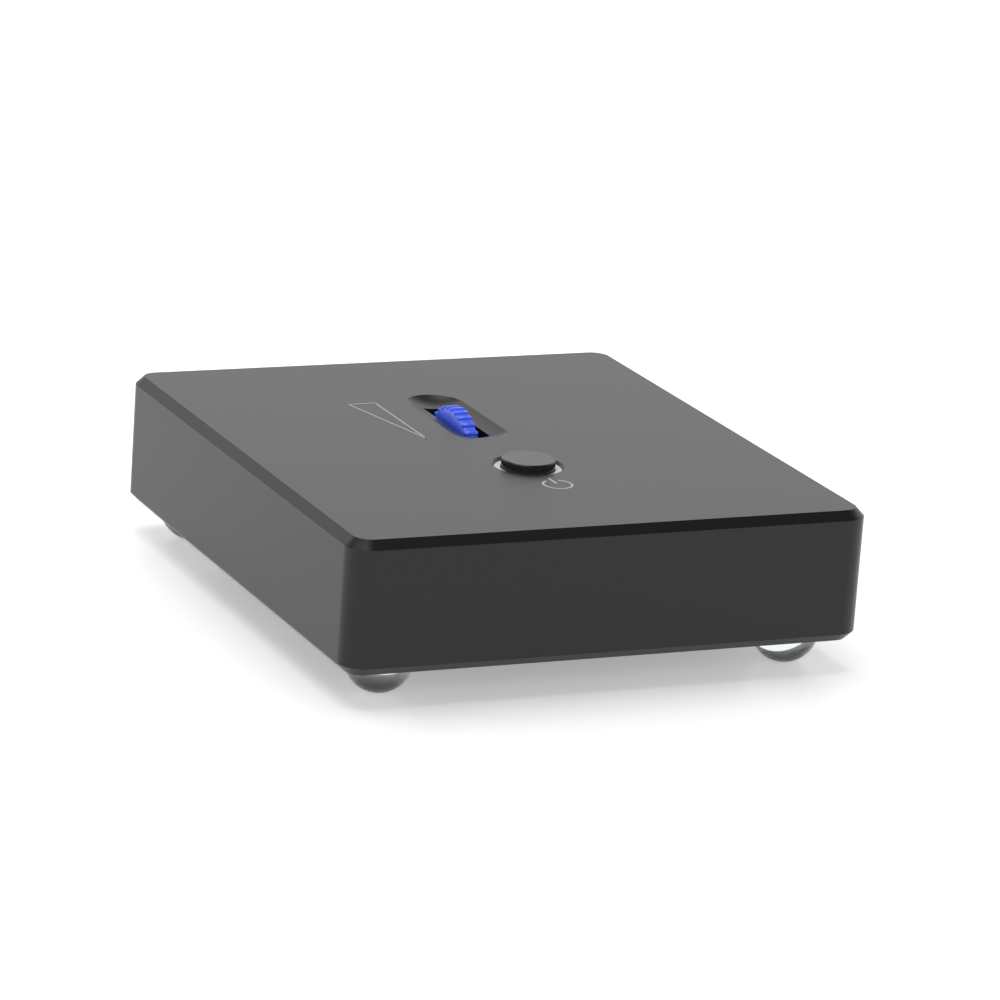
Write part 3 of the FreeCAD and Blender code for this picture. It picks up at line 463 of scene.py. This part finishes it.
# %% One ridge
def ridge_bar(name, length, width, high, ends):
    """A rounded bar along X, in millimetres, whose section is an arch and whose ends slope down."""
    bm = bmesh.new()
    arch = [(width / 2 * cos(pi * i / 8), high * sin(pi * i / 8) ** 0.3) for i in range(9)]
    section = arch + [(-width / 2, -high * 0.6), (width / 2, -high * 0.6)]
    rows = []
    for x, share in ((-length / 2, 0.0), (-length / 2 + ends * 0.4, 0.7), (-length / 2 + ends, 1.0),
                     (length / 2 - ends, 1.0), (length / 2 - ends * 0.4, 0.7), (length / 2, 0.0)):
        rows.append([bm.verts.new(Vector((x, y * (0.75 + 0.25 * share), z * share if z > 0 else z)) * MM)
                     for y, z in section])
    for low, high_row in zip(rows, rows[1:]):
        for i in range(len(section)):
            j = (i + 1) % len(section)
            bm.faces.new((low[i], low[j], high_row[j], high_row[i]))
    bm.faces.new(rows[0])
    bm.faces.new(rows[-1])
    bmesh.ops.remove_doubles(bm, verts=bm.verts, dist=1e-7)
    bmesh.ops.recalc_face_normals(bm, faces=bm.faces)
    mesh = bpy.data.meshes.new(name)
    bm.to_mesh(mesh)
    bm.free()
    mesh.shade_smooth()
    mesh.set_sharp_from_angle(angle=radians(50))
    bar = bpy.data.objects.new(name, mesh)
    bpy.context.collection.objects.link(bar)
    return bar


def ridged(core_bm, name, bar, count, radius, centre, turn, node_name):
    """Runs the tree on a core turned about X at the origin, then puts the result in its place."""
    core = settle(core_bm, name, 28)
    modifier = core.modifiers.new("ridges", "NODES")
    modifier.node_group = ridges
    wanted = {"Ridge": bar, "Count": count, "Radius": radius * MM, "Finish": finishes[slot_of[node_name]]}
    for item in ridges.interface.items_tree:
        if item.name in wanted:
            modifier[item.identifier] = wanted[item.name]
    evaluated = core.evaluated_get(bpy.context.evaluated_depsgraph_get())
    plain = bpy.data.meshes.new_from_object(evaluated)
    core.modifiers.clear()
    core.data = plain
    plain.transform(Matrix.Translation(Vector(centre) * MM) @ turn)
    bpy.data.objects.remove(bar)
    install(core, node_name)
    print(name, "triangles", sum(len(p.vertices) - 2 for p in plain.polygons))


print("ridge tools ready")

# %% [markdown]
# The wheel's core has a rounded flank between its flat face and its edge. The ridges are narrow, with wide valleys,
# and their number is an estimate from the spacing of the few crests that the photograph shows.

# %% Gain wheel
WHEEL_RADIUS = 8.6
WHEEL_HALF = 1.4
RIDGE_HIGH = 0.3
RIDGE_LONG = 2.2
RIDGE_WIDE = 0.6
RIDGE_END = 0.2
RIDGE_COUNT = 34
DISH_RADIUS = 5.3
DISH_DEEP = 0.5
SPINDLE = 3.0
wheel_centre = middle("pot_bush")
wheel_centre[0] = 0.0
core_radius = WHEEL_RADIUS - RIDGE_HIGH
half_profile = [(0.88, core_radius), (1.06, core_radius - 0.3), (1.22, core_radius - 0.85),
                (1.34, core_radius - 1.6), (WHEEL_HALF, core_radius - 2.5),
                (WHEEL_HALF, DISH_RADIUS), (WHEEL_HALF - DISH_DEEP, DISH_RADIUS - 0.2),
                (WHEEL_HALF - DISH_DEEP, SPINDLE + 0.02)]
profile = [(-a, r) for a, r in reversed(half_profile)] + half_profile
bm = bmesh.new()
turned(bm, eased(profile, 0.14), (0, 0, 0), "X", steps=160, ring=True)
bar = ridge_bar("wheel_ridge", RIDGE_LONG, RIDGE_WIDE, RIDGE_HIGH, RIDGE_END)
ridged(bm, "gain_wheel_ridged", bar, RIDGE_COUNT, core_radius, wheel_centre, Matrix.Identity(4), "gain_wheel")

# %% [markdown]
# The ground terminal's nut has the same kind of ridges, finer, and a turned neck towards the washer.

# %% Ground nut
nut_low, nut_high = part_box("ground_nut")
nut_x, _, nut_z = middle("ground_nut")
nut_long = (nut_high[1] - nut_low[1]) / MM
NUT_RADIUS = 3.3
NUT_BORE = 1.56
NUT_NECK = 2.7
NUT_RIDGE_HIGH = 0.2
NUT_RIDGE_COUNT = 28
nut_core = NUT_RADIUS - NUT_RIDGE_HIGH
neck = [(0, NUT_BORE), (0, NUT_NECK), (1.0, NUT_NECK), (1.25, nut_core - 0.15), (1.4, nut_core),
        (nut_long - 0.35, nut_core), (nut_long, nut_core - 0.3), (nut_long, NUT_BORE)]
core = [(a - nut_long / 2, r) for a, r in neck]
bm = bmesh.new()
turned(bm, eased(core, 0.1), (0, 0, 0), "X", steps=96, ring=True)
bar = ridge_bar("nut_ridge", nut_long - 1.6, 0.62, NUT_RIDGE_HIGH, 0.25)
for vertex in bar.data.vertices:
    vertex.co.x += 0.5 * MM
turn = Matrix.Rotation(pi / 2, 4, "Z")
ridged(bm, "ground_nut_ridged", bar, NUT_RIDGE_COUNT, nut_core,
       (nut_x, (nut_low[1] + nut_high[1]) / 2 / MM, nut_z), turn, "ground_nut")

# %% [markdown]
# The stud is threaded at half a millimetre's pitch. Grooves that close on themselves look the same as a thread
# at this size, and a turned profile with a tooth for each pitch makes them.

# %% Ground stud
stud_low, stud_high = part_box("ground_stud")
stud_x, _, stud_z = middle("ground_stud")
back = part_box("case_shell")[1][1] / MM
start, end = stud_low[1] / MM, stud_high[1] / MM
STUD = 1.5
PITCH = 0.5
THREAD_DEEP = 0.22
FLANGE_RADIUS = 3.2
FLANGE_LONG = 1.0
profile = [(start, 0), (start, STUD - 0.3)]
spot = start + 0.3
while spot < end - 0.4:
    if back - 3.0 < spot < back + 1.3:
        profile.append((spot, STUD))
    else:
        profile += [(spot, STUD), (spot + PITCH / 2, STUD - THREAD_DEEP)]
    spot += PITCH
profile = [p for p in profile if not back - 0.1 < p[0] < back + 1.1]
before = [p for p in profile if p[0] < back]
after = [p for p in profile if p[0] > back]
flange = [(back, STUD), (back, FLANGE_RADIUS), (back + FLANGE_LONG, FLANGE_RADIUS), (back + FLANGE_LONG, STUD)]
bm = bmesh.new()
turned(bm, before + flange + after + [(end, STUD - 0.3), (end, 0)], (stud_x, 0, stud_z), "Y", steps=64)
install(settle(bm, "ground_stud_threaded", 30), "ground_stud")
print("stud from", round(start, 2), "to", round(end, 2))

# %% [markdown]
# A socket's shell is turned brass, gold plated. Its mouth is rolled round, so a plug slides over it,
# and two shallow grooves break its barrel.

# %% Socket shells
NECK = 4.6
BARREL = 4.15
BORE = 3.4
FLANGE_OUT = 0.6
GROOVES = (2.2, 3.0)
for side in ("out_left", "out_right", "in_left", "in_right"):
    low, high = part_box(side + "_shell")
    x, _, z = middle(side + "_shell")
    near, mouth = low[1] / MM, high[1] / MM
    shoulder = back + FLANGE_OUT
    barrel = [(near, BORE), (near, NECK), (shoulder, NECK), (shoulder, BARREL)]
    for groove in GROOVES:
        at = back + groove
        barrel += [(at, BARREL), (at + 0.12, BARREL - 0.12), (at + 0.24, BARREL)]
    barrel += [(mouth - 0.4, BARREL), (mouth, BARREL - 0.35), (mouth, BORE)]
    bm = bmesh.new()
    turned(bm, eased(barrel, 0.1), (x, 0, z), "Y", steps=80, ring=True)
    install(settle(bm, side + "_shell_turned", 30), side + "_shell")
print("shells", 4)

# %% [markdown]
# Two marks are printed on the top: a level wedge beside the wheel and a power sign before the button.
# Each is a closed outline with a small height, so it reads as ink from any side.

# %% Printed marks
case_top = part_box("case_shell")[1][2] / MM
INK_HIGH = 0.012


def ink(bm, loop):
    """Adds a thin slab of ink over a closed loop of points in millimetres."""
    low = [bm.verts.new(Vector((x, y, case_top - 0.02)) * MM) for x, y in loop]
    high = [bm.verts.new(Vector((x, y, case_top + INK_HIGH)) * MM) for x, y in loop]
    bm.faces.new(low)
    bm.faces.new(high)
    for i in range(len(loop)):
        j = (i + 1) % len(loop)
        bm.faces.new((low[i], low[j], high[j], high[i]))


def stroke(bm, a, b, width):
    """Adds a straight stroke with square ends that reach half a width past both points."""
    a, b = Vector(a), Vector(b)
    along = (b - a).normalized() * width / 2
    side = Vector((-along.y, along.x))
    ink(bm, [tuple(p) for p in (a - along + side, a - along - side, b + along - side, b + along + side)])


def print_mark(bm, name):
    """Finishes a mark and lets it ride on the case."""
    bmesh.ops.recalc_face_normals(bm, faces=bm.faces)
    mesh = bpy.data.meshes.new(name)
    bm.to_mesh(mesh)
    bm.free()
    mesh.materials.append(finishes["print"])
    mark = bpy.data.objects.new(name, mesh)
    bpy.context.collection.objects.link(mark)
    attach(mark, "case")


WEDGE = [(-13.63, 16.55), (-9.3, 16.64), (-9.26, -2.86)]
bm = bmesh.new()
for a, b in zip(WEDGE, WEDGE[1:] + WEDGE[:1]):
    stroke(bm, a, b, 0.22)
print_mark(bm, "level_wedge")

RING_X, RING_Y, RING_RADIUS, RING_STROKE = 0.1, -28.8, 2.1, 0.34
RING_STEPS = 40
GAP = radians(26)
bm = bmesh.new()
turns = [pi / 2 + GAP + (2 * pi - 2 * GAP) * i / RING_STEPS for i in range(RING_STEPS + 1)]
large, small = RING_RADIUS + RING_STROKE / 2, RING_RADIUS - RING_STROKE / 2
outside = [(RING_X + large * cos(t), RING_Y + large * sin(t)) for t in turns]
inside = [(RING_X + small * cos(t), RING_Y + small * sin(t)) for t in turns]
for i in range(RING_STEPS):
    ink(bm, [outside[i], outside[i + 1], inside[i + 1], inside[i]])
bmesh.ops.remove_doubles(bm, verts=bm.verts, dist=1e-8)
shared = []
for face in bm.faces:
    upright = [e for e in face.edges if abs(e.verts[0].co.z - e.verts[1].co.z) > 1e-6]
    if abs(face.normal.z) < 0.5 and all(len(e.link_faces) > 2 for e in upright):
        shared.append(face)
bmesh.ops.delete(bm, geom=shared, context="FACES_ONLY")
stroke(bm, (RING_X, -25.85), (RING_X, -28.25), RING_STROKE)
print_mark(bm, "power_sign")
print("marks at", round(case_top, 3))

# %% [markdown]
# The studio is white all round and dark overhead. The top, front and left faces mirror the white floor and
# walls, and the front bevel mirrors the dark above, as in the photograph. A soft lamp a little behind the zenith
# throws a short shadow forward on a satin white table.

# %% World
HORIZON_LIGHT = 1.1
ZENITH_LIGHT = 0.06
world = bpy.data.worlds.new("white_studio")
world.use_nodes = True
bpy.context.scene.world = world
sky = world.node_tree
sky.nodes.clear()
aim = add(sky, "ShaderNodeTexCoord")
parts = add(sky, "ShaderNodeSeparateXYZ", {}, {0: aim.outputs["Generated"]})
band = add(sky, "ShaderNodeMapRange", {"interpolation_type": "SMOOTHSTEP", "From Min": 0.5, "From Max": 0.72,
                                       "To Min": HORIZON_LIGHT, "To Max": ZENITH_LIGHT},
           {"Value": parts.outputs["Z"]})
glow = add(sky, "ShaderNodeBackground", {"Color": (1, 1, 1, 1)}, {"Strength": band.outputs["Result"]})
add(sky, "ShaderNodeOutputWorld", {}, {"Surface": glow.outputs["Background"]})
print("world ready")

# %% Floor
TABLE_HALF = 4.0
tree, shader, place = new_finish("floor", "white_acrylic_table",
                                 {"Base Color": linear("#f7f7f7"), "Specular IOR Level": 0.2,
                                  "Emission Color": (1, 1, 1, 1), "Emission Strength": 0.33})
dust = add(tree, "ShaderNodeTexNoise", {"Scale": 0.02, "Detail": 2.0}, {"Vector": place})
gloss = add(tree, "ShaderNodeMapRange", {"To Min": 0.26, "To Max": 0.34}, {"Value": dust.outputs[0]})
tree.links.new(gloss.outputs["Result"], shader.inputs["Roughness"])
bm = bmesh.new()
bmesh.ops.create_grid(bm, x_segments=8, y_segments=8, size=TABLE_HALF)
floor_mesh = bpy.data.meshes.new("table")
bm.to_mesh(floor_mesh)
bm.free()
floor_mesh.materials.append(finishes["floor"])
floor = bpy.data.objects.new("table", floor_mesh)
bpy.context.collection.objects.link(floor)
print("floor ready")

# %% Lamps
LAMPS = (("overhead", (-0.1, 0.19, 1.1), 0.9, 8.2),)
for name, spot, size, power in LAMPS:
    lamp_data = bpy.data.lights.new(name, "AREA")
    lamp_data.shape = "SQUARE"
    lamp_data.size = size
    lamp_data.energy = power
    lamp = bpy.data.objects.new(name, lamp_data)
    lamp.location = spot
    lamp.rotation_euler = (Vector(spot) - Vector((0, 0, 0.02))).to_track_quat("Z", "Y").to_euler()
    bpy.context.collection.objects.link(lamp)
print("lamps", len(LAMPS))
